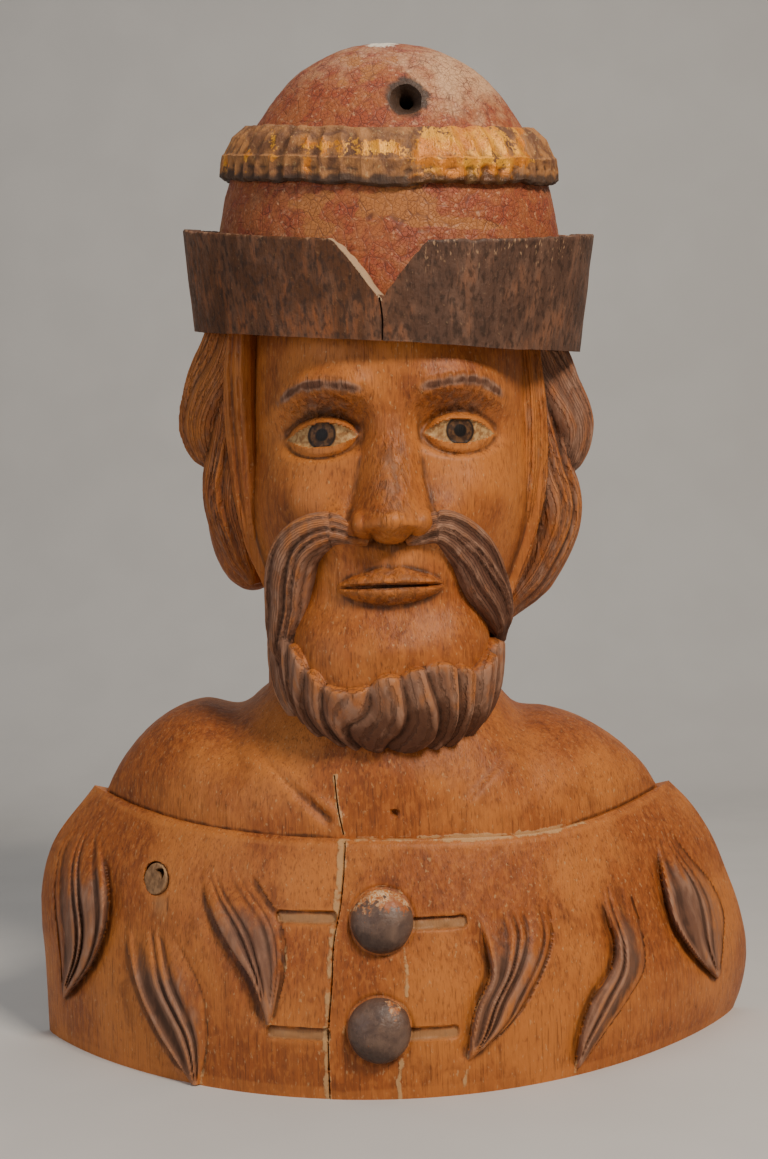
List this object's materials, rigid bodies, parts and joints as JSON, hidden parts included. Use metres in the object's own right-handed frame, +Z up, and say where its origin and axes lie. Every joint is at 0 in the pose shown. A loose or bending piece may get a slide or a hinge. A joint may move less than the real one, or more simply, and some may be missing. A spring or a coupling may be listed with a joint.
{
  "type": "ship figurehead",
  "caption": "Carved wooden bust of a bearded man in a brimmed hat and a coat with fur tails, flat behind and below, standing on its base.",
  "frame": {"origin": "on the flat underside, at mid width, 90 mm in front of the flat back", "axes": "+Z up, the figure faces -Y, +X is the viewer's right"},
  "size_m": [0.5621, 0.2002, 0.755],
  "materials": {
    "carved_wood": "oiled and waxed carved softwood with worn paint",
    "button_wood": "dark worn paint on turned wood",
    "bung_wood": "bare weathered end grain"
  },
  "bodies": {
    "root": {"carved_bust": "carved_wood", "upper_button": "button_wood", "lower_button": "button_wood", "shoulder_bung": "bung_wood"}
  },
  "joints": []
}
